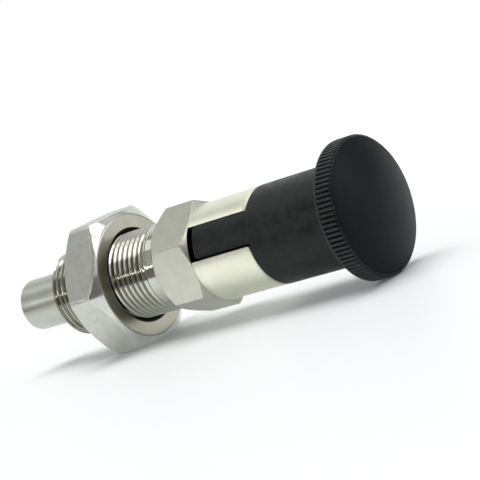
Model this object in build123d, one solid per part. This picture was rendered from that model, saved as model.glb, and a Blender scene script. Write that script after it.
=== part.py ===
from build123d import *
import math
import os

os.makedirs("parts", exist_ok=True)

# Indexing plunger with a rest position, thread M20 x 1.5, pin diameter 12, stroke 15.
# Millimetres. X runs along the plunger from the pin's nose to the knob, +Z is up.
# Origin: on the axis, in the plane of the hex collar's seating face.
# The plunger lies on a flat of its lock nut and on the rim of its knob.
# Angles about the axis are from straight up, towards -Y.

stroke = 15.0
arc_chords = 3

# ---- shank: the thread's outer cylinder, a chamfered end and a plain neck
thread_r = 9.95
shank_length = 32.0
shank_chamfer = 1.0
neck_relief = 0.2
neck_length = 2.6

# ---- hex collar
collar_across_flats = 22.0
collar_length = 10.85
collar_front_bevel = 0.4
collar_front_chamfer_deg = 45.0
collar_rear_chamfer_deg = 30.0
collar_corner_angle = 66.1

# ---- slotted sleeve
sleeve_r = 10.9
sleeve_length = 15.75
sleeve_end_chamfer = 0.45

# ---- pin and rod
pin_r = 6.0
pin_reach = 14.0
pin_nose_round = 0.8
pin_shoulder_chamfer = 0.4
pin_running_gap = 0.05
pin_bore_chamfer = 0.5
rod_r = 3.0
rod_running_gap = 0.08
rod_grip_length = 18.4
rod_end_chamfer = 0.4
rod_end_gap = 0.3
web_thickness = 3.45

# ---- return spring
wire_r = 0.55
spring_mean_r = 5.0
active_turns = 8
closed_turns = 1
spring_reserve = 2.4
spring_seat_gap = 0.02
closed_turn_gap = 0.05
runs_per_turn = 12
wire_facets = 6

# ---- lock nut
nut_across_flats = 30.0
nut_thickness = 10.0
nut_distance = 12.6
nut_face_bevel = 0.9
nut_chamfer_deg = 35.0
nut_thread_gap = 0.05
nut_countersink = 1.0
nut_corner_angle = 90.0

# ---- knob
head_r = 15.1
head_thickness = 4.4
head_lip = 0.6
head_edge_bevel = 0.3
dome_height = 2.1
knurl_teeth = 90
knurl_depth = 0.45
knurl_groove_width = 0.62
knurl_end_step = 0.1
barrel_r = 10.95
barrel_length = 21.65
barrel_edge_bevel = 0.3
barrel_to_head_round = 1.2
hub_r = 7.0
hub_gap = 0.3
tab_width = 7.0
tab_side_gap = 0.375
tab_release = 0.4
tab_edge_bevel = 0.3
tab_play_angle = -1.2

# ---- places that follow from the sizes above
shank_end_x = -shank_length
neck_r = thread_r - neck_relief
sleeve_end_x = collar_length + sleeve_length
web_front_x = collar_length - web_thickness
pin_bore_r = pin_r + pin_running_gap
rod_bore_r = rod_r + rod_running_gap
hub_bore_r = hub_r + hub_gap
slot_width = tab_width + 2 * tab_side_gap
spring_solid_length = 2 * wire_r * (active_turns + 2 * closed_turns + 1)
spring_room = spring_solid_length + stroke + spring_reserve
pin_shoulder_x = web_front_x - spring_room
pin_nose_x = shank_end_x - pin_reach
rod_end_x = sleeve_end_x + rod_grip_length
nut_rear_x = -nut_distance
nut_front_x = nut_rear_x - nut_thickness
nut_bore_r = thread_r + nut_thread_gap
tab_front_x = sleeve_end_x - (stroke - tab_release)
head_rear_x = sleeve_end_x + barrel_length
head_front_x = head_rear_x + head_thickness
far = 3 * head_r


def lathe(points):
    """A body of revolution about the X axis from (x, radius) points of a closed outline."""
    outline = Wire.make_polygon([Vector(x, r, 0) for x, r in points], close=True)
    return revolve(Face(outline), Axis.X, 360)


def arc(centre_x, centre_r, radius, deg0, deg1):
    """Points for lathe along a rounding, in a few short chords. 0 degrees is +X, 90 outwards."""
    points = []
    for k in range(arc_chords + 1):
        turn = math.radians(deg0 + (deg1 - deg0) * k / arc_chords)
        points.append((centre_x + radius * math.cos(turn), centre_r + radius * math.sin(turn)))
    return points


def around(shape, degrees):
    """Turns a shape about the plunger's axis."""
    return shape.rotate(Axis.X, degrees)


def hex_prism(across_flats, x0, x1):
    """A hexagonal prism along X from x0 to x1, with a corner straight up."""
    corner_r = across_flats / math.sqrt(3)
    corners = []
    for k in range(6):
        turn = math.radians(60 * k)
        corners.append(Vector(x0, -corner_r * math.sin(turn), corner_r * math.cos(turn)))
    face = Face(Wire.make_polygon(corners, close=True))
    return extrude(face, x1 - x0, dir=(1, 0, 0))


def chamfer_blank(x0, r0, deg0, x1, r1, deg1, outer_r):
    """A turned blank whose two cones chamfer a hexagon's ends, from face radii r0 and r1."""
    rise0 = (outer_r - r0) * math.tan(math.radians(deg0))
    rise1 = (outer_r - r1) * math.tan(math.radians(deg1))
    return lathe([
        (x0, 0),
        (x0, r0),
        (x0 + rise0, outer_r),
        (x1 - rise1, outer_r),
        (x1, r1),
        (x1, 0),
    ])


def cross_bar(x0, x1, width):
    """A bar across the axis, from x0 to x1, as wide as given and longer than the part."""
    bar = Box(x1 - x0, width, 2 * far)
    return Pos((x0 + x1) / 2, 0, 0) * bar


# ---- guide_body: shank, hex collar and slotted sleeve, turned and milled in one piece
shank = lathe([
    (shank_end_x, 0),
    (shank_end_x, thread_r - shank_chamfer),
    (shank_end_x + shank_chamfer, thread_r),
    (-neck_length - neck_relief, thread_r),
    (-neck_length, neck_r),
    (collar_length / 2, neck_r),
    (collar_length / 2, 0),
])
collar = hex_prism(collar_across_flats, 0, collar_length) & chamfer_blank(
    0,
    collar_across_flats / 2 - collar_front_bevel,
    collar_front_chamfer_deg,
    collar_length,
    sleeve_r,
    collar_rear_chamfer_deg,
    collar_across_flats / math.sqrt(3) + 0.2,
)
sleeve = lathe([
    (collar_length / 2, 0),
    (collar_length / 2, sleeve_r),
    (sleeve_end_x - sleeve_end_chamfer, sleeve_r),
    (sleeve_end_x, sleeve_r - sleeve_end_chamfer),
    (sleeve_end_x, 0),
])
bores = lathe([
    (shank_end_x - 1, 0),
    (shank_end_x - 1, pin_bore_r + pin_bore_chamfer + 1),
    (shank_end_x + pin_bore_chamfer, pin_bore_r),
    (web_front_x, pin_bore_r),
    (web_front_x, rod_bore_r),
    (collar_length, rod_bore_r),
    (collar_length, hub_bore_r),
    (sleeve_end_x + 1, hub_bore_r),
    (sleeve_end_x + 1, 0),
])
slots = around(cross_bar(collar_length, sleeve_end_x + 1, slot_width), collar_corner_angle)
guide_body = shank + around(collar, collar_corner_angle) + sleeve - bores - slots
export_step(guide_body, "parts/guide_body.step")

# ---- lock_nut: chamfered on both sides, its bore countersunk at both ends
nut_face_r = nut_across_flats / 2 - nut_face_bevel
nut = hex_prism(nut_across_flats, nut_front_x, nut_rear_x) & chamfer_blank(
    nut_front_x,
    nut_face_r,
    nut_chamfer_deg,
    nut_rear_x,
    nut_face_r,
    nut_chamfer_deg,
    nut_across_flats / math.sqrt(3) + 0.2,
)
nut_bore = lathe([
    (nut_front_x - 1, 0),
    (nut_front_x - 1, nut_bore_r + nut_countersink + 1),
    (nut_front_x + nut_countersink, nut_bore_r),
    (nut_rear_x - nut_countersink, nut_bore_r),
    (nut_rear_x + 1, nut_bore_r + nut_countersink + 1),
    (nut_rear_x + 1, 0),
])
lock_nut = around(nut, nut_corner_angle) - nut_bore
export_step(lock_nut, "parts/lock_nut.step")

# ---- plunger_pin: the pin and its thinner rod, turned in one piece
plunger_pin = lathe([
    (pin_nose_x, 0),
    *arc(pin_nose_x + pin_nose_round, pin_r - pin_nose_round, pin_nose_round, 180, 90),
    (pin_shoulder_x - pin_shoulder_chamfer, pin_r),
    (pin_shoulder_x, pin_r - pin_shoulder_chamfer),
    (pin_shoulder_x, rod_r),
    (rod_end_x - rod_end_chamfer, rod_r),
    (rod_end_x, rod_r - rod_end_chamfer),
    (rod_end_x, 0),
])
export_step(plunger_pin, "parts/plunger_pin.step")


# ---- return_spring: wire wound round the rod in short straight runs, closed at both ends
total_turns = active_turns + 2 * closed_turns
spring_x0 = pin_shoulder_x + wire_r + spring_seat_gap
spring_x1 = web_front_x - wire_r - spring_seat_gap
closed_pitch = 2 * wire_r + closed_turn_gap
open_pitch = (spring_x1 - spring_x0 - 2 * closed_turns * closed_pitch) / active_turns
vertex_r = spring_mean_r / math.cos(math.pi / runs_per_turn)


def wire_x(turn):
    """Where the wire's centre is along X, after a number of turns from the pin's shoulder."""
    front = closed_pitch * min(turn, closed_turns)
    rear = closed_pitch * max(turn - closed_turns - active_turns, 0)
    middle = open_pitch * min(max(turn - closed_turns, 0), active_turns)
    return spring_x0 + front + middle + rear


wire_points = []
for step in range(round(total_turns * runs_per_turn) + 1):
    turn = step / runs_per_turn
    angle = 2 * math.pi * turn
    y = -vertex_r * math.sin(angle)
    z = vertex_r * math.cos(angle)
    wire_points.append(Vector(wire_x(turn), y, z))
wire_start = Plane(wire_points[0], z_dir=wire_points[1] - wire_points[0])
wire_section = wire_start * RegularPolygon(wire_r, wire_facets)
return_spring = sweep(wire_section, path=Polyline(*wire_points), transition=Transition.RIGHT)
export_step(return_spring, "parts/return_spring.step")

# ---- knob: head, barrel, hub and two tabs, moulded in one piece
face_bevel = knurl_depth + knurl_end_step
face_r = head_r - face_bevel
dome_r = (face_r ** 2 + dome_height ** 2) / (2 * dome_height)
dome_centre_x = head_front_x + dome_height - dome_r
dome_deg = math.degrees(math.asin(face_r / dome_r))
round_r = barrel_to_head_round
turned = lathe([
    (tab_front_x, 0),
    (tab_front_x, hub_r - tab_edge_bevel),
    (tab_front_x + tab_edge_bevel, hub_r),
    (sleeve_end_x, hub_r),
    (sleeve_end_x, barrel_r - barrel_edge_bevel),
    (sleeve_end_x + barrel_edge_bevel, barrel_r),
    *arc(head_rear_x - round_r, barrel_r + round_r, round_r, -90, 0),
    (head_rear_x, head_r - head_edge_bevel),
    (head_rear_x + head_edge_bevel, head_r),
    (head_front_x - face_bevel, head_r),
    *arc(dome_centre_x, 0, dome_r, dome_deg, 0),
])
tab_blank = lathe([
    (tab_front_x, 0),
    (tab_front_x, sleeve_r - tab_edge_bevel),
    (tab_front_x + tab_edge_bevel, sleeve_r),
    (sleeve_end_x + barrel_edge_bevel, sleeve_r),
    (sleeve_end_x + barrel_edge_bevel, 0),
])
tabs = tab_blank & cross_bar(tab_front_x, sleeve_end_x + barrel_edge_bevel, tab_width)
rod_socket = lathe([
    (tab_front_x - 1, 0),
    (tab_front_x - 1, rod_r),
    (rod_end_x + rod_end_gap, rod_r),
    (rod_end_x + rod_end_gap, 0),
])
groove_x0 = head_rear_x + head_lip
groove = Wire.make_polygon([
    Vector(groove_x0, 0, head_r - knurl_depth),
    Vector(groove_x0, -knurl_groove_width / 2, head_r + 0.02),
    Vector(groove_x0, knurl_groove_width / 2, head_r + 0.02),
], close=True)
groove = extrude(Face(groove), head_thickness, dir=(1, 0, 0))
grooves = [around(groove, 360 * k / knurl_teeth) for k in range(knurl_teeth)]
knob = turned + around(tabs, collar_corner_angle + tab_play_angle) - rod_socket - grooves
export_step(knob, "parts/knob.step")
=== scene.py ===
import math

import bmesh
import bpy
import numpy as np
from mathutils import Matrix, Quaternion, Vector


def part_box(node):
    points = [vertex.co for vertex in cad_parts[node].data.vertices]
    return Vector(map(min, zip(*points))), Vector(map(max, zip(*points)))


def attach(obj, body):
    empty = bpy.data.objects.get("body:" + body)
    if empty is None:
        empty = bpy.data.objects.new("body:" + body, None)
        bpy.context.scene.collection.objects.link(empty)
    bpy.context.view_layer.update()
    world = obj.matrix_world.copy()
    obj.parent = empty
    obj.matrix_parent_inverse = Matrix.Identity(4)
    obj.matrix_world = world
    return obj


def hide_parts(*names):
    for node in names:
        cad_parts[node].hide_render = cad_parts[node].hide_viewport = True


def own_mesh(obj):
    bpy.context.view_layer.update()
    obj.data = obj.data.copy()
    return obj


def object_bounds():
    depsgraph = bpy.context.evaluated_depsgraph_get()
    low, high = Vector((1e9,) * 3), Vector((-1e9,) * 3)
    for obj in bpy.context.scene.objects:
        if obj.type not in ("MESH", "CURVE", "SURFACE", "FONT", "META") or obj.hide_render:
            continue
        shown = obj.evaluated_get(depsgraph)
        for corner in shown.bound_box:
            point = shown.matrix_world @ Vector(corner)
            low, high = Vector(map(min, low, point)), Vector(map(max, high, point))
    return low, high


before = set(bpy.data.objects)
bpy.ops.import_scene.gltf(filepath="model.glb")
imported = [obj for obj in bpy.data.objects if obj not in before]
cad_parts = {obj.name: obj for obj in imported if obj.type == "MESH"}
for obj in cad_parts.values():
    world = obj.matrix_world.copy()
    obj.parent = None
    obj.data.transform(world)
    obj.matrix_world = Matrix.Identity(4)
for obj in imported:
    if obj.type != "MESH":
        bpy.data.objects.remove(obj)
cad_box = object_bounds()
# The pieces' sizes are in millimetres and degrees, and mm turns millimetres into metres.
mm = 0.001

# ---- Guide body: threaded shank, hex collar and slotted sleeve
# One turning from hexagonal stainless steel bar: the thread is cut, the collar keeps the bar's
# flats, and the sleeve is turned and slotted. The collar seats on a plate.
guide_low, guide_high = (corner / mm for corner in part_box("guide_body"))
shank_end, sleeve_end = guide_low.x, guide_high.x
thread_pitch = 1.5
thread_crest = 9.95
thread_depth = 0.92
thread_chamfer = 1.0
thread_runout = 1.6
crest_flat, root_flat = 0.13, 0.12
# How far below the crest the painted shade in the thread's valleys has faded out.
unshaded_crest_depth = 0.08
neck_r = 9.75
neck_start = -2.7
neck_step = 0.2
collar_width = 22.0
collar_length = 10.85
collar_bevel = 0.4
collar_chamfer_deg = 30
collar_corner = 66.1
collar_edge_r = 0.25
sleeve_r = 10.9
sleeve_chamfer = 0.45
sleeve_root = 0.2
slot_width = 7.75
slot_edge = 0.07
pin_bore_r = 6.05
rod_bore_r = 3.08
hub_bore_r = 7.3
web_front = 7.4
bore_chamfer = 0.5


def hexagon(turn, width, corner_turn, edge_r):
    """How far a hexagon's side is from the axis at each angle, in degrees. With beta the angle to
    the nearest corner, the side lies at half the width over cos(30 - beta), and at the corner a
    circle of the edge's own radius takes over."""
    beta = np.radians(np.abs((turn - corner_turn + 30) % 60 - 30))
    side = width / 2 / np.cos(math.pi / 6 - beta)
    centre = (width / 2 - edge_r) / math.cos(math.pi / 6)
    inside = np.maximum(edge_r**2 - (centre * np.sin(beta)) ** 2, 0)
    corner = centre * np.cos(beta) + np.sqrt(inside)
    reach = math.atan2(edge_r / 2, centre + edge_r * math.cos(math.pi / 6))
    return np.where(beta < reach, corner, side)


def turns_with_corners(step, corner_turn):
    """Angles from 0 to 360, evenly spaced, with more of them in the three degrees on each side of
    a hexagon's six corners."""
    near = np.array([0, 0.4, 0.8, 1.2, 1.6, 2.0, 2.4, 3.0])
    corners = corner_turn + 60 * np.arange(6)[:, None]
    extra = np.concatenate([corners + near, corners - near]).ravel() % 360
    even = np.arange(0, 360, step)
    return np.unique(np.round(np.concatenate([even, extra, [0, 360]]), 4))


def outline(turn, *points):
    """Corner points (x, radius) of a lengthwise section, one copy for each angle. A value is one
    number for all angles, or an array with one for each."""
    rows = [[np.broadcast_to(value, turn.shape) for value in point] for point in points]
    return np.array(rows).transpose(0, 2, 1)


def soften(corners, setbacks, steps=4):
    """Breaks a closed outline's corners. Each becomes a parabola that leaves its two sides a
    setback away from the corner, and never more than 0.45 of the side away."""
    rows = []
    for k, setback in enumerate(setbacks):
        corner = corners[k]
        if setback == 0:
            rows.append(corner[None])
            continue
        ends = []
        for side in (corners[k - 1] - corner, corners[(k + 1) % len(corners)] - corner):
            length = np.maximum(np.linalg.norm(side, axis=-1, keepdims=True), 1e-9)
            ends.append(corner + side * np.minimum(setback / length, 0.45))
        s = np.linspace(0, 1, steps + 1)[:, None, None]
        rows.append((1 - s) ** 2 * ends[0] + 2 * s * (1 - s) * corner + s**2 * ends[1])
    return np.concatenate(rows)


def around(rows, turn):
    """Points of a body about the X axis: ring i lies at x and radius rows[i], and its point j at
    turn[j] degrees from straight up, towards -Y."""
    angle = np.radians(turn)
    x, r = rows[..., 0], rows[..., 1]
    return np.stack([x, -r * np.sin(angle), r * np.cos(angle)], axis=-1)


def quads(points, close_rings=True, close_columns=False):
    """A grid's points in one list, and the four corners of each of its cells. The grid may be
    closed from its last ring to its first, and from its last column to its first."""
    count, width = points.shape[:2]
    index = np.arange(count * width).reshape(count, width)
    if close_rings:
        index = np.concatenate([index, index[:1]])
    if close_columns:
        index = np.concatenate([index, index[:, :1]], axis=1)
    cells = [index[:-1, :-1], index[1:, :-1], index[1:, 1:], index[:-1, 1:]]
    return points.reshape(-1, 3), np.stack(cells, axis=-1).reshape(-1, 4)


def piece(name, grids, body, node, materials, choose=None, sharp_deg=40):
    """One mesh from grids of points in millimetres. Points that coincide become one, faces are
    turned outwards, and large flats keep their own shading beside broken edges. choose gives the
    material's number for each face from its centre in millimetres and its normal."""
    points, faces, start = [], [], 0
    for grid_points, grid_faces in grids:
        points.append(grid_points * mm)
        faces.append(grid_faces + start)
        start += len(grid_points)
    mesh = bpy.data.meshes.new(name)
    mesh.from_pydata(np.concatenate(points).tolist(), [], np.concatenate(faces).tolist())
    shell = bmesh.new()
    shell.from_mesh(mesh)
    bmesh.ops.remove_doubles(shell, verts=shell.verts, dist=0.0002 * mm)
    bmesh.ops.recalc_face_normals(shell, faces=shell.faces)
    shell.to_mesh(mesh)
    shell.free()
    mesh.shade_smooth()
    mesh.set_sharp_from_angle(angle=math.radians(sharp_deg))
    for material in materials:
        mesh.materials.append(material)
    if choose:
        centres, normals = (np.zeros(3 * len(mesh.polygons)) for _ in range(2))
        mesh.polygons.foreach_get("center", centres)
        mesh.polygons.foreach_get("normal", normals)
        number = choose(centres.reshape(-1, 3).T / mm, normals.reshape(-1, 3).T)
        mesh.polygons.foreach_set("material_index", number.astype(np.int32))
    made = bpy.data.objects.new(name, mesh)
    bpy.context.scene.collection.objects.link(made)
    weighted = made.modifiers.new("face_weighted_normals", "WEIGHTED_NORMAL")
    weighted.keep_sharp = True
    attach(made, body)
    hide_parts(node)
    return made


def thread_rings(turn, x0, x1, crest, depth, shares):
    """Rings that follow a right-hand thread, so that each stays on one place of its profile. Ring
    j lies at its share of a pitch plus the angle's share of a turn, and is cut off at x0 and x1.
    The radius falls from the crest to the root in step with the distance from the crest's middle,
    counted in half pitches, with a short flat on each."""
    first = math.floor(x0 / thread_pitch) - 1
    count = math.ceil((x1 - x0) / thread_pitch) + 2
    ring = (first + np.arange(count)[:, None] + shares).ravel()
    x = np.clip(thread_pitch * (ring[:, None] + turn / 360), x0, x1)
    phase = (x / thread_pitch - turn / 360) % 1
    from_crest = np.minimum(phase, 1 - phase) * 2
    slope = np.clip((from_crest - crest_flat) / (1 - root_flat - crest_flat), 0, 1)
    return x, crest - depth * slope


# Rings over one pitch, as shares of it from a crest's middle, closer where the profile bends.
half_pitch = [0, 0.04, 0.07, 0.09, 0.14, 0.22, 0.30, 0.38, 0.43, 0.46]
other_half = [0.54, 0.57, 0.62, 0.70, 0.78, 0.86, 0.91, 0.93, 0.96]
profile_shares = np.array(half_pitch + other_half)
guide_turn = turns_with_corners(2.5, collar_corner)
collar_r = hexagon(guide_turn, collar_width, collar_corner, collar_edge_r)
x, r = thread_rings(guide_turn, shank_end, neck_start, thread_crest, thread_depth, profile_shares)
# The thread runs out to the neck in a smooth step, and starts at the end behind a chamfer.
fade = np.clip((neck_start - x) / thread_runout, 0, 1)
r = thread_crest - (thread_crest - r) * fade * fade * (3 - 2 * fade)
r = np.minimum(r, thread_crest - thread_chamfer + (x - shank_end))
thread = np.stack([x, r], axis=-1)
face_r = collar_width / 2 - collar_bevel
rear_chamfer = (collar_r - sleeve_r) * math.tan(math.radians(collar_chamfer_deg))
before = outline(
    guide_turn,
    (shank_end + bore_chamfer, pin_bore_r),
    (shank_end, pin_bore_r + bore_chamfer),
)
after = outline(
    guide_turn,
    (neck_start + neck_step, neck_r),
    (0, neck_r),
    (0, face_r),
    (collar_r - face_r, collar_r),
    (collar_length - rear_chamfer, collar_r),
    (collar_length, sleeve_r),
    (collar_length, rod_bore_r),
    (web_front, rod_bore_r),
    (web_front, pin_bore_r),
)
guide_corners = np.concatenate([before, thread, after])
# How far each of those corners is broken, in the same order.
guide_setbacks = [0.1, 0.1] + [0] * len(thread) + [0.1, 0.12, 0.12, 0.16, 0.16, 0.1, 0, 0, 0]
shank = quads(around(soften(guide_corners, guide_setbacks), guide_turn))


def band(outer_r, inner_r, half_width, inner_flat=None):
    """A closed section: points (u, v) along its outer arc and back, where u runs along a slot's
    middle and v across it. Without inner_flat it is the tube's wall beyond the slot, and the arcs
    of both radii end on the slot's side, at v = half_width. With inner_flat it is the bar in the
    slot, between v = -half_width and half_width, from the outer arc down to u = inner_flat. The
    four corners are broken a little."""
    share = np.linspace(-1, 1, 49)
    if inner_flat is None:
        outer = share * math.acos(half_width / outer_r)
        inner = -share * math.acos(half_width / inner_r)
        u = np.concatenate([outer_r * np.sin(outer), inner_r * np.sin(inner)])
        v = np.concatenate([outer_r * np.cos(outer), inner_r * np.cos(inner)])
    else:
        outer = share * math.asin(half_width / outer_r)
        u = np.concatenate([outer_r * np.cos(outer), np.full(len(share), inner_flat)])
        v = np.concatenate([outer_r * np.sin(outer), -share * half_width])
    section = np.stack([u, v], axis=-1)[:, None, :]
    setback = np.zeros(len(section))
    ends = [0, len(share) - 1, len(share), 2 * len(share) - 1]
    setback[ends] = slot_edge
    return soften(section, setback)[:, 0, :]


def loft(levels, direction, side=1):
    """A closed bar along X from its sections: level i is (x, section). The two ends are closed
    across, from each point of the outer arc to the one opposite on the inner arc. direction is the
    angle of the u axis from straight up, and side turns v over."""
    angle = math.radians(direction)
    rings = []
    for x, section in levels:
        u, v = section[:, 0], section[:, 1] * side
        y = -u * math.sin(angle) - v * math.cos(angle)
        z = u * math.cos(angle) - v * math.sin(angle)
        rings.append(np.stack([np.full(len(u), x), y, z], axis=-1))
    rings = np.array(rings)
    half = rings.shape[1] // 2
    grids = [quads(rings, close_rings=False, close_columns=True)]
    for end in (rings[0], rings[-1]):
        grids.append(quads(np.array([end[:half], end[:half - 1:-1]]), close_rings=False))
    return grids


# The sleeve is the wall on both sides of the slots. At each level: how far it is in front of the
# sleeve's end, how far the outer wall drops there, and how far the slots and the bore open.
sleeve_levels = []
for back, drop, play in [
    (sleeve_end - collar_length + sleeve_root, 0, 0),
    (sleeve_chamfer + 0.06, 0, 0),
    (sleeve_chamfer, 0.012, 0),
    (sleeve_chamfer - 0.05, 0.05, 0),
    (0.09, sleeve_chamfer - 0.09, 0),
    (0.03, sleeve_chamfer - 0.02, 0.02),
    (0, sleeve_chamfer + 0.05, 0.08),
]:
    section = band(sleeve_r - drop, hub_bore_r + play, slot_width / 2 + play)
    sleeve_levels.append((sleeve_end - back, section))
lobes = loft(sleeve_levels, collar_corner) + loft(sleeve_levels, collar_corner, -1)


def linear(code):
    """An sRGB colour given as six hex digits, turned into Blender's linear values."""
    parts = [int(code[k:k + 2], 16) / 255 for k in (0, 2, 4)]
    light = [c / 12.92 if c <= 0.04045 else ((c + 0.055) / 1.055) ** 2.4 for c in parts]
    return (*light, 1)


def add(tree, kind, settings=None, inputs=None):
    """Adds a node of a kind to a tree, sets its own properties, and gives each input, by name or
    number, a value or another node's output."""
    made = tree.nodes.new(kind)
    for name, value in (settings or {}).items():
        setattr(made, name, value)
    for key, value in (inputs or {}).items():
        if isinstance(value, bpy.types.NodeSocket):
            tree.links.new(value, made.inputs[key])
        else:
            made.inputs[key].default_value = value
    return made


def steel(
    name,
    light,
    dark,
    roughness,
    marks,
    mark_mm,
    bump_mm,
    cloud_mm=3.0,
    spread=0.06,
    valley_shade=None,
):
    """Bare steel. Its colour drifts between two close greys in clouds of a few millimetres, and
    fine tool marks run where marks says: "turned" round the axis, "drawn" along it, "ground" every
    way. The marks raise the surface and change its roughness a little. Real marks are 0.05 to
    0.1 mm apart, too fine to show, so they are drawn mark_mm apart, and drawn lines are 25 times
    as long as wide. The colour given for the thread's valleys, if any, is painted shade: towards
    the root the colour darkens to it."""
    material = bpy.data.materials.new(name)
    material.use_nodes = True
    tree = material.node_tree
    shader = tree.nodes["Principled BSDF"]
    place = add(tree, "ShaderNodeTexCoord").outputs["Object"]
    split = add(tree, "ShaderNodeSeparateXYZ", None, {0: place})
    cross = {"Y": split.outputs["Y"], "Z": split.outputs["Z"]}
    across = add(tree, "ShaderNodeCombineXYZ", None, cross).outputs[0]
    from_axis = add(tree, "ShaderNodeVectorMath", {"operation": "LENGTH"}, {0: across})
    if marks == "turned":
        lathe = {"X": split.outputs["X"], "Y": from_axis.outputs["Value"]}
        vector = add(tree, "ShaderNodeCombineXYZ", None, lathe).outputs[0]
    elif marks == "drawn":
        stretch = {"Vector": place, "Scale": (0.04, 1, 1)}
        vector = add(tree, "ShaderNodeMapping", None, stretch).outputs[0]
    else:
        vector = place
    fine = add(
        tree,
        "ShaderNodeTexNoise",
        None,
        {"Vector": vector, "Scale": 1 / (mark_mm * mm), "Detail": 3.0, "Roughness": 0.6},
    )
    cloud = add(
        tree,
        "ShaderNodeTexNoise",
        None,
        {"Vector": place, "Scale": 1 / (cloud_mm * mm), "Detail": 4.0, "Roughness": 0.55},
    )
    colours = {"data_type": "RGBA"}
    tone = add(
        tree,
        "ShaderNodeMix",
        colours,
        {"Factor": cloud.outputs[0], 6: linear(dark), 7: linear(light)},
    )
    # Painted shade: towards the thread's root the colour darkens to the one given for the valleys,
    # as if shade lay in the grooves.
    if valley_shade:
        depth = add(
            tree,
            "ShaderNodeMapRange",
            None,
            {
                "Value": from_axis.outputs["Value"],
                "From Min": (thread_crest - thread_depth) * mm,
                "From Max": (thread_crest - unshaded_crest_depth) * mm,
            },
        )
        tone = add(
            tree,
            "ShaderNodeMix",
            colours,
            {0: depth.outputs[0], 6: linear(valley_shade), 7: tone.outputs[2]},
        )
    tree.links.new(tone.outputs[2], shader.inputs["Base Color"])
    rough = add(
        tree,
        "ShaderNodeMapRange",
        None,
        {"Value": fine.outputs[0], "To Min": roughness - spread, "To Max": roughness + spread},
    )
    tree.links.new(rough.outputs[0], shader.inputs["Roughness"])
    bump = add(
        tree,
        "ShaderNodeBump",
        None,
        {"Height": fine.outputs[0], "Distance": bump_mm * mm, "Strength": 1.0},
    )
    tree.links.new(bump.outputs[0], shader.inputs["Normal"])
    shader.inputs["Metallic"].default_value = 1.0
    return material


# The cut thread is burnished by the die, so its crests mirror sharply. Its valleys are painted
# darker, as painted shade in the grooves.
steel_thread = steel(
    "stainless_steel_thread_cut",
    "C9C9C1",
    "BABAB0",
    0.10,
    "turned",
    0.3,
    0.0004,
    spread=0.02,
    valley_shade="88867B",
)
# Drawn bar keeps a satin skin with faint lines along it, so the flats shine softly.
steel_hex = steel(
    "stainless_steel_bar_drawn",
    "CDCCC0",
    "B7B6AA",
    0.30,
    "drawn",
    0.25,
    0.006,
    cloud_mm=2.0,
)
# The turned sleeve is the palest steel, slightly warm, with broad soft highlights along it.
steel_sleeve = steel(
    "stainless_steel_turned",
    "EDEEE1",
    "DAD8C3",
    0.33,
    "turned",
    0.3,
    0.002,
    cloud_mm=4.0,
)


def guide_finish(centre, normal):
    """0 on the thread and in the bores, 1 on the collar, 2 on the sleeve."""
    x, y, z = centre
    reach = np.hypot(y, z)
    near = 0.01
    on_collar = (x > -near) & (x < collar_length + near) & (reach > neck_r)
    return np.where(x > collar_length + near, 2, np.where(on_collar, 1, 0))


piece(
    "guide_body_turned",
    [shank] + lobes,
    "guide",
    "guide_body",
    [steel_thread, steel_hex, steel_sleeve],
    guide_finish,
)

# ---- Lock nut: a thin hexagon nut on the shank
# Milled stainless steel, chamfered on both sides by one cone, its faces turned flat and its
# threaded bore countersunk. It locks the shank against a plate.
nut_low, nut_high = (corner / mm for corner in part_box("lock_nut"))
nut_front, nut_rear = nut_low.x, nut_high.x
nut_width = 30.0
nut_corner = 90.0
nut_corner_r = 1.4
nut_face_r = 14.1
nut_chamfer_deg = 35
nut_edge = 0.35
nut_thread_gap = 0.12
nut_bore = 9.19
nut_mouth_r = 11.0

nut_turn = turns_with_corners(2.5, nut_corner)
nut_r = hexagon(nut_turn, nut_width, nut_corner, nut_corner_r)
cone = (nut_r - nut_face_r) * math.tan(math.radians(nut_chamfer_deg))
x, r = thread_rings(
    nut_turn,
    nut_front,
    nut_rear,
    thread_crest + nut_thread_gap,
    thread_depth,
    profile_shares,
)
# The bore's crests are cut off at its own radius, and its mouths are countersunk at 45 degrees.
mouth = nut_mouth_r - np.minimum(x - nut_front, nut_rear - x)
r = np.maximum(np.maximum(r, nut_bore), mouth)
nut_thread = np.stack([x, r], axis=-1)[::-1]
nut_outside = outline(
    nut_turn,
    (nut_front, nut_face_r),
    (nut_front + cone, nut_r),
    (nut_rear - cone, nut_r),
    (nut_rear, nut_face_r),
)
nut_corners = np.concatenate([nut_outside, nut_thread])
nut_setbacks = [nut_edge] * 4 + [0] * len(nut_thread)
nut_grid = quads(around(soften(nut_corners, nut_setbacks), nut_turn))
# Milled and tumbled flats are matt and slightly blotchy, in two greys.
steel_nut = steel(
    "stainless_steel_nut_milled",
    "D1D1CB",
    "ADAEA6",
    0.34,
    "ground",
    0.35,
    0.010,
    cloud_mm=1.6,
    spread=0.12,
)
# The turned faces are painted darker and warmer than the flats, as painted shade, and read as an
# even satin ring.
steel_nut_face_shaded = steel(
    "stainless_steel_nut_face_painted_shade", "ADAA9C", "9B978A", 0.30, "turned", 0.35, 0.004
)
# The chamfers are cut bright, so they flash white and dark from corner to corner.
steel_nut_bevel = steel(
    "stainless_steel_nut_chamfer_turned", "D8D8D5", "BCBCB8", 0.12, "turned", 0.4, 0.010
)
# The tapped bore is dull and painted near black, as painted shade in the gap round the shank, so it
# reads as a dark ring there.
steel_nut_bore_shade = steel(
    "stainless_steel_nut_bore_painted_shade", "4A473F", "35332D", 0.30, "turned", 0.3, 0.002
)


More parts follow.
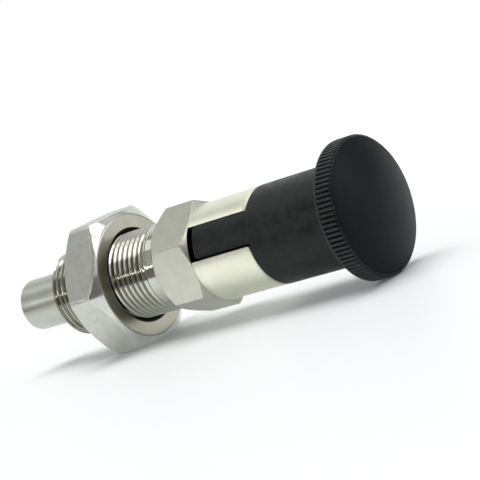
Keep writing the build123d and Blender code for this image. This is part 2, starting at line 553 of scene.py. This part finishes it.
def nut_finish(centre, normal):
    """0 on the six flats, 1 on the turned faces, 2 on the chamfers, 3 in the bore. Flats have
    little of their normal along the axis, and the end faces nearly all of it."""
    x, y, z = centre
    reach = np.hypot(y, z)
    outer = np.where(np.abs(normal[0]) < 0.35, 0, np.where(reach < nut_face_r + 0.1, 1, 2))
    return np.where((reach < nut_mouth_r) & (np.abs(normal[0]) < 0.95), 3, outer)


piece(
    "lock_nut_milled",
    [nut_grid],
    "nut",
    "lock_nut",
    [steel_nut, steel_nut_face_shaded, steel_nut_bevel, steel_nut_bore_shade],
    nut_finish,
)

# ---- Plunger pin and its rod
# One stainless steel turning: the pin is ground to fit its bore, its nose is rounded to find the
# index hole, and the thinner rod behind it is pressed into the knob.
pin_low, pin_high = (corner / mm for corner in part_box("plunger_pin"))
pin_nose, rod_end = pin_low.x, pin_high.x
pin_r = 6.0
pin_shoulder = -22.1
pin_nose_round = 0.9
pin_edge = 0.4
rod_r = 3.0
pin_turn = np.linspace(0, 360, 121)
pin_corners = outline(
    pin_turn,
    (pin_nose, 0),
    (pin_nose, pin_r),
    (pin_shoulder, pin_r),
    (pin_shoulder, rod_r),
    (rod_end, rod_r),
    (rod_end, 0),
)
pin_rows = soften(pin_corners, [0, pin_nose_round, pin_edge, 0, pin_edge, 0], steps=6)
# Centreless grinding leaves an even, slightly grey satin, with soft bands of light along it.
steel_pin = steel("stainless_steel_pin_ground", "BDBEB6", "ABADA4", 0.36, "turned", 0.5, 0.0004)
piece(
    "plunger_pin_ground",
    [quads(around(pin_rows, pin_turn), close_rings=False)],
    "plunger",
    "plunger_pin",
    [steel_pin],
)

# ---- Return spring inside the shank
# Round spring steel wire wound on the rod's axis, its end turns closed. It pushes the pin out.
# In use it shortens towards the web when the knob is pulled; here it is built at one length only.
wire_r = 0.55
coil_r = 5.0
active_turns = 8
closed_pitch = 1.15
spring_gap = 0.02
spring_front = pin_shoulder + wire_r + spring_gap
spring_rear = web_front - wire_r - spring_gap
# The wire's middle runs on a helix: at each turn it moves on by the open pitch, or by the closed
# pitch in the first and last turn. A circle of the wire's radius goes round each point of it.
wound = np.linspace(0, active_turns + 2, 401)
open_pitch = (spring_rear - spring_front - 2 * closed_pitch) / active_turns
wire_x = (
    spring_front
    + closed_pitch * np.minimum(wound, 1)
    + open_pitch * np.clip(wound - 1, 0, active_turns)
    + closed_pitch * np.maximum(wound - 1 - active_turns, 0)
)
across = np.linspace(0, 2 * math.pi, 13)
angle = 2 * math.pi * wound[:, None]
wire_reach = coil_r + wire_r * np.cos(across)
wire_points = np.stack(
    [
        wire_x[:, None] + wire_r * np.sin(across),
        -wire_reach * np.sin(angle),
        wire_reach * np.cos(angle),
    ],
    axis=-1,
)
tips = wire_points[[0, -1]].mean(axis=1, keepdims=True)
tips = np.repeat(tips, len(across), axis=1)
wire_points = np.concatenate([tips[:1], wire_points, tips[1:]])
# Drawn wire is plain grey and satin. It is hidden inside the shank.
steel_wire = steel("spring_steel_drawn", "C8C8C4", "B8B8B4", 0.30, "ground", 0.4, 0.002)
spring = piece(
    "return_spring_wound",
    [quads(wire_points, close_rings=False)],
    "guide",
    "return_spring",
    [steel_wire],
)
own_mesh(spring)

# ---- Knob: domed head with a knurled rim, barrel, hub and two tabs
# Black glass-filled polyamide, moulded in one piece. The tabs run in the sleeve's slots, and the
# hub, hidden in the sleeve, holds the rod.
knob_low, knob_high = (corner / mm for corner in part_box("knob"))
tab_front, dome_top = knob_low.x, knob_high.x
head_r = knob_high.z
head_rear = 48.25
head_thickness = 4.4
head_lip = 0.6
head_bevel = 0.3
dome_height = dome_top - head_rear - head_thickness
teeth = 90
tooth_depth = 0.45
tooth_rise = 0.08
groove_share = 0.59
face_bevel = 0.55
barrel_r = 10.95
barrel_bevel = 0.3
barrel_fillet = 1.2
barrel_seam = 0.4
hub_r = 7.0
rod_room = 0.3
tab_width = 7.0
tab_turn = 65.2
tab_corner = 0.9
tab_edge = 0.35
tab_root = 1.0
tab_foot = hub_r - 1
# How deep the knurl's paler tips reach, as wear and as painted light.
tip_wear_and_light_depth = 0.15

# The knurl's V grooves take up groove_share of each tooth. The radius falls from the ridge's flat
# to the groove's bottom in step with the angle, and points lie closest at the ridge's edges.
tooth_shares = np.array([0, 0.13, 0.18, 0.23, 0.36, 0.5, 0.64, 0.77, 0.82, 0.87])
knob_turn = np.append((np.arange(teeth)[:, None] + tooth_shares).ravel(), teeth) * 360 / teeth
from_groove = np.abs((knob_turn * teeth / 360) % 1 - 0.5) * 2 / groove_share
ridge_r = head_r - tooth_depth * np.clip(1 - from_groove, 0, 1)
face_x = head_rear + head_thickness
edge_r = head_r - face_bevel
# The dome is a sphere's cap: its radius follows from the cap's height and the face's edge.
bow_r = (edge_r**2 + dome_height**2) / (2 * dome_height)
dome = []
for share in np.linspace(0, 1, 15)[1:]:
    dome_r = edge_r * (1 - share)
    dome.append((dome_top - bow_r + math.sqrt(bow_r**2 - dome_r**2), dome_r))
# The section's corners: x, radius, and how far the corner is broken.
knob_corners = [
    (rod_end + rod_room, 0, 0),
    (rod_end + rod_room, rod_r, 0),
    (tab_front, rod_r, 0),
    (tab_front, hub_r, 0.3),
    (sleeve_end + barrel_seam, hub_r, 0),
    (sleeve_end + barrel_seam, barrel_r, barrel_bevel),
    (head_rear, barrel_r, barrel_fillet),
    (head_rear, head_r, head_bevel),
    (head_rear + head_lip, head_r, 0.05),
    (head_rear + head_lip + tooth_rise, ridge_r, 0.03),
    (face_x - (ridge_r - edge_r), ridge_r, 0.08),
    (face_x, edge_r, 0.12),
] + [(x, r, 0) for x, r in dome]
knob_section = outline(knob_turn, *[(x, r) for x, r, setback in knob_corners])
knob_rows = soften(knob_section, [setback for x, r, setback in knob_corners])
# A tab's front corners are rounded in plan by a quarter circle, and its outer front edge by a
# parabola. Its root runs on into the barrel, and its foot is sunk into the hub. Within its play
# it sits a little off the slot's middle.
tab_levels = []
for turned in np.radians([0, 15, 30, 45, 60, 75, 90]):
    back = tab_corner * (1 - math.cos(turned))
    side = tab_width / 2 - tab_corner * (1 - math.sin(turned))
    top = sleeve_r - tab_edge * max(0, 1 - back / tab_edge) ** 2
    tab_levels.append((tab_front + back, band(top, None, side, tab_foot)))
tab_levels.append((sleeve_end + tab_root, band(sleeve_r, None, tab_width / 2, tab_foot)))
tabs = loft(tab_levels, tab_turn) + loft(tab_levels, tab_turn + 180)


def polyamide(name, dark, light, roughness, spread, rings_mm, gloss):
    """Black polyamide as it leaves the mould: its grey drifts in clouds of two millimetres from
    the glass fill, its gloss is patchy, and the spark-eroded mould leaves a grain. The real grain
    is about 0.1 mm, too fine to show, so it is drawn at 0.5 mm. The knurl's tips are painted
    paler, as wear and as painted light on the ridges above their shaded grooves, and faint rings,
    rings_mm apart, stay from the turned mould."""
    material = bpy.data.materials.new(name)
    material.use_nodes = True
    tree = material.node_tree
    shader = tree.nodes["Principled BSDF"]
    place = add(tree, "ShaderNodeTexCoord").outputs["Object"]
    split = add(tree, "ShaderNodeSeparateXYZ", None, {0: place})
    cross = {"Y": split.outputs["Y"], "Z": split.outputs["Z"]}
    across = add(tree, "ShaderNodeCombineXYZ", None, cross).outputs[0]
    length = add(tree, "ShaderNodeVectorMath", {"operation": "LENGTH"}, {0: across})
    from_axis = length.outputs["Value"]
    grain = add(
        tree,
        "ShaderNodeTexNoise",
        None,
        {"Vector": place, "Scale": 1 / (0.5 * mm), "Detail": 3.0, "Roughness": 0.6},
    )
    cloud = add(
        tree,
        "ShaderNodeTexNoise",
        None,
        {"Vector": place, "Scale": 1 / (2.0 * mm), "Detail": 6.0, "Roughness": 0.65},
    )
    patches = add(
        tree,
        "ShaderNodeMapRange",
        {"interpolation_type": "SMOOTHSTEP"},
        {"Value": cloud.outputs[0], "From Min": 0.35, "From Max": 0.65},
    )
    tone = add(
        tree,
        "ShaderNodeMix",
        {"data_type": "RGBA"},
        {"Factor": patches.outputs[0], 6: linear(dark), 7: linear(light)},
    )
    # Wear and painted light: the colour turns paler over the outer tips of the knurl, so its ridges
    # read lit above its shaded grooves.
    tip_wear_and_light = add(
        tree,
        "ShaderNodeMapRange",
        None,
        {"Value": from_axis, "From Min": (head_r - tip_wear_and_light_depth) * mm, "From Max": head_r * mm},
    )
    tip_wear_and_light_tone = add(
        tree,
        "ShaderNodeMix",
        {"data_type": "RGBA"},
        {"Factor": tip_wear_and_light.outputs[0], 6: tone.outputs[2], 7: linear("2C2F30")},
    )
    tree.links.new(tip_wear_and_light_tone.outputs[2], shader.inputs["Base Color"])
    rough = add(
        tree,
        "ShaderNodeMapRange",
        None,
        {"Value": patches.outputs[0], "To Min": roughness - spread, "To Max": roughness + spread},
    )
    tree.links.new(rough.outputs[0], shader.inputs["Roughness"])
    outward = add(tree, "ShaderNodeCombineXYZ", None, {"X": from_axis}).outputs[0]
    rings = add(
        tree,
        "ShaderNodeTexNoise",
        None,
        {"Vector": outward, "Scale": 1 / (rings_mm * mm)},
    )
    turned = add(tree, "ShaderNodeBump", None, {"Height": rings.outputs[0], "Distance": 0.012 * mm})
    bump = add(
        tree,
        "ShaderNodeBump",
        None,
        {"Height": grain.outputs[0], "Distance": 0.01 * mm, "Normal": turned.outputs[0]},
    )
    tree.links.new(bump.outputs[0], shader.inputs["Normal"])
    shader.inputs["Specular IOR Level"].default_value = gloss
    return material


# Barrel, rim and tabs come from an eroded mould: charcoal, mottled, with a wide weak shine.
black_polyamide = polyamide("polyamide_moulded", "0B0D0C", "1F2322", 0.46, 0.10, 1.2, 0.24)
# The domed face comes from a turned and polished insert: deeper, bluish black and smoother.
black_polyamide_face = polyamide(
    "polyamide_turned_mould_face", "04070B", "090E15", 0.36, 0.03, 0.8, 0.07
)


def knob_finish(centre, normal):
    """1 on the domed face, 0 everywhere else."""
    x, y, z = centre
    near = 0.05
    return np.where((x > face_x - near) & (normal[0] > 0.5), 1, 0)


piece(
    "knob_moulded",
    [quads(around(knob_rows, knob_turn), close_rings=False)] + tabs,
    "plunger",
    "knob",
    [black_polyamide, black_polyamide_face],
    knob_finish,
    sharp_deg=50,
)

# ---- Floor
# A wide sheet of white paper under the part's lowest point, which keeps its soft shadow and fades
# into the backdrop. The scene from here on is in metres.
floor_z = cad_box[0][2]
half = 6.0
floor_corners = [(-half, -half), (half, -half), (half, half), (-half, half)]
floor_mesh = bpy.data.meshes.new("paper_floor")
floor_mesh.from_pydata([(x, y, floor_z) for x, y in floor_corners], [], [(0, 1, 2, 3)])
floor = bpy.data.objects.new("paper_floor", floor_mesh)
bpy.context.scene.collection.objects.link(floor)
# White card: matt, nearly neutral, with only a trace of shine.
paper = bpy.data.materials.new("paper_white")
paper.use_nodes = True
card = paper.node_tree
shader = card.nodes["Principled BSDF"]
shader.inputs["Roughness"].default_value = 0.45
shader.inputs["Specular IOR Level"].default_value = 0.15
place = add(card, "ShaderNodeTexCoord").outputs["Object"]
away = add(card, "ShaderNodeVectorMath", {"operation": "LENGTH"}, {0: place}).outputs["Value"]
along_y = add(card, "ShaderNodeSeparateXYZ", None, {0: place}).outputs["Y"]
ray = add(card, "ShaderNodeLightPath")
# In a studio the paper ends in front, and bright metal mirrors the dark table past its edge. Only
# glossy rays see it: it lies past some distance from the part, and on the -Y side.
past = add(
    card,
    "ShaderNodeMapRange",
    None,
    {"Value": away, "From Min": 0.105, "From Max": 0.135},
)
front = add(
    card,
    "ShaderNodeMapRange",
    None,
    {"Value": along_y, "From Min": -0.02, "From Max": -0.05},
)
times = {"operation": "MULTIPLY"}
beyond = add(card, "ShaderNodeMath", times, {0: past.outputs[0], 1: front.outputs[0]})
mirrored = ray.outputs["Is Glossy Ray"]
table = add(card, "ShaderNodeMath", times, {0: beyond.outputs[0], 1: mirrored}).outputs[0]
sheet = add(
    card,
    "ShaderNodeMix",
    {"data_type": "RGBA"},
    {0: table, 6: (0.80, 0.81, 0.80, 1), 7: (0.10, 0.10, 0.11, 1)},
)
card.links.new(sheet.outputs[2], shader.inputs["Base Color"])
# A little glow makes the sheet fade to the backdrop's white far from the part, and gives metal a
# white floor to mirror. It lights nothing, as diffuse rays don't see it.
far = add(
    card,
    "ShaderNodeMapRange",
    {"interpolation_type": "SMOOTHSTEP"},
    {"Value": away, "From Min": 0.05, "From Max": 0.7, "To Min": 0.06, "To Max": 0.27},
)
minus = {"operation": "SUBTRACT"}
in_view = add(card, "ShaderNodeMath", minus, {0: 1, 1: ray.outputs["Is Diffuse Ray"]})
on_paper = add(card, "ShaderNodeMath", minus, {0: in_view.outputs[0], 1: table})
glow = add(
    card,
    "ShaderNodeMath",
    {"operation": "MULTIPLY_ADD"},
    {0: mirrored, 1: 0.20, 2: far.outputs[0]},
)
lift = add(card, "ShaderNodeMath", times, {0: on_paper.outputs[0], 1: glow.outputs[0]})
shader.inputs["Emission Color"].default_value = (0.94, 1, 1, 1)
card.links.new(lift.outputs[0], shader.inputs["Emission Strength"])
floor_mesh.materials.append(paper)

# ---- Light and camera
# A white light tent. The camera sees plain white, matt surfaces an even light, and bright metal
# mirrors what a studio has round the table: backdrop, soft boxes, a tube lamp and a dim room.
world = bpy.data.worlds.new("light_tent")
bpy.context.scene.world = world
world.use_nodes = True
sky = world.node_tree
way = add(sky, "ShaderNodeTexCoord").outputs["Generated"]
height = add(sky, "ShaderNodeSeparateXYZ", None, {0: way}).outputs["Z"]


def share_of(value, gone, full):
    """A soft step, 0 where a value has reached gone and 1 where it has reached full."""
    step = add(
        sky,
        "ShaderNodeMapRange",
        {"interpolation_type": "SMOOTHSTEP"},
        {"Value": value, "From Min": gone, "From Max": full},
    )
    return step.outputs[0]


def patch(toward, full_deg, gone_deg):
    """The share of a soft round patch towards a direction, from its full to its outer angle."""
    toward = Vector(toward).normalized()
    near = add(sky, "ShaderNodeVectorMath", {"operation": "DOT_PRODUCT"}, {0: way, 1: toward})
    gone, full = (math.cos(math.radians(angle)) for angle in (gone_deg, full_deg))
    return share_of(near.outputs["Value"], gone, full)


def both(one, other):
    """The product of two shares."""
    return add(sky, "ShaderNodeMath", {"operation": "MULTIPLY"}, {0: one, 1: other}).outputs[0]


def paint(before, share, light):
    """Lays a colour over what is there, by its share."""
    kind = {"data_type": "RGBA"}
    return add(sky, "ShaderNodeMix", kind, {0: share, 6: before, 7: (*light, 1)}).outputs[2]


# The tent is painted in this order over a dim room. Each row has a patch's direction, the angles
# at which it is full and gone, and its light. The pin's side is -X, and the knob's is +X.
tent = (0.41, 0.42, 0.41, 1)
for toward, full_deg, gone_deg, light in [
    # a bluish grey wall behind the knob's side, which the nut's turned face and the knob's mirror
    ((0.64, 0.78, -0.10), 30, 60, (0.43, 0.46, 0.49)),
    # the white backdrop behind the pin's side, along the top edge of everything round
    ((-0.60, 0.79, -0.10), 46, 66, (0.99, 1.02, 1.00)),
    # the wide soft box overhead
    ((0.00, 0.30, 0.95), 20, 32, (1.27, 1.30, 1.28)),
    # a grey card before the pin's side, which tones the middle of the cylinders
    ((-0.60, -0.62, 0.48), 16, 24, (0.55, 0.57, 0.55)),
    # a soft box above that card, for the long highlight on the cylinders
    ((-0.62, -0.13, 0.77), 10, 14, (1.36, 1.40, 1.37)),
    # a smaller and brighter one beside it, which the thread's flanks pass on to each other
    ((-0.24, -0.32, 0.92), 10, 16, (2.15, 2.20, 2.18)),
    # a pale stretch of backdrop high behind the knob
    ((0.52, 0.68, 0.52), 12, 20, (0.80, 0.82, 0.80)),
    # a small lamp over the knob, which lights up the nut's upper chamfer
    ((0.61, 0.31, 0.73), 6, 10, (2.40, 2.40, 2.38)),
    # a pale wall past the knob
    ((0.93, -0.06, 0.36), 10, 20, (0.80, 0.80, 0.78)),
    # a second lamp over that wall, which gives the thread its bright band
    ((0.83, 0.14, 0.54), 7, 13, (3.40, 3.40, 3.37)),
    # a dark doorway behind the knob, which keeps the edge of its face black
    ((0.89, 0.43, 0.14), 12, 24, (0.06, 0.06, 0.06)),
    # a bluish window in it, for the faint shine on the knob's face
    ((0.81, 0.56, 0.20), 7, 14, (4.00, 4.20, 4.40)),
]:
    tent = paint(tent, patch(toward, full_deg, gone_deg), light)
# The front of the room is dark up to the height of a bench.
low = both(share_of(height, 0.26, 0.20), patch((0.45, -0.89, 0.0), 68, 80))
tent = paint(tent, low, (0.23, 0.21, 0.185))
# A tube lamp stands level just above it, and draws a thin bright line along turned steel.
tube = both(share_of(height, 0.244, 0.248), share_of(height, 0.264, 0.26))
tent = paint(tent, both(tube, patch((-0.2, -0.98, 0.2), 60, 75)), (16.0, 15.6, 15.2))
# Glossy rays see the tent, camera rays plain white, and all others an even light.
seen_by = add(sky, "ShaderNodeLightPath")
lit = add(
    sky,
    "ShaderNodeMix",
    {"data_type": "RGBA"},
    {0: seen_by.outputs["Is Glossy Ray"], 6: (0.47, 0.48, 0.50, 1), 7: tent},
)
backdrop = add(
    sky,
    "ShaderNodeMix",
    {"data_type": "RGBA"},
    {0: seen_by.outputs["Is Camera Ray"], 6: lit.outputs[2], 7: (1, 1, 1, 1)},
)
sky.links.new(backdrop.outputs[2], sky.nodes["Background"].inputs["Color"])

# A very soft light from overhead gives the shadow. Metal doesn't mirror it.
lamp_data = bpy.data.lights.new("soft_sky_panel", "SUN")
lamp_data.energy = 2.2
lamp_data.angle = math.radians(45)
lamp = bpy.data.objects.new("soft_sky_panel", lamp_data)
bpy.context.scene.collection.objects.link(lamp)
lamp.location = (-0.05, 0.06, 0.48)
lamp.rotation_euler = (Vector((0, 0, 0)) - lamp.location).to_track_quat("-Z", "Y").to_euler()
lamp.visible_glossy = False

# A long lens from the knob's side, a little above the bench and rolled about 20 degrees.
camera_data = bpy.data.cameras.new("camera")
camera_data.lens = 137.20
camera_data.sensor_width = 36.0
camera_data.clip_end = 20
camera = bpy.data.objects.new("camera", camera_data)
bpy.context.scene.collection.objects.link(camera)
camera.location = (0.254666, -0.312948, 0.039603)
camera.rotation_mode = "QUATERNION"
camera.rotation_quaternion = Quaternion((0.733375, 0.587077, 0.326305, 0.105011))
bpy.context.scene.camera = camera
bpy.context.scene.view_settings.view_transform = "Standard"
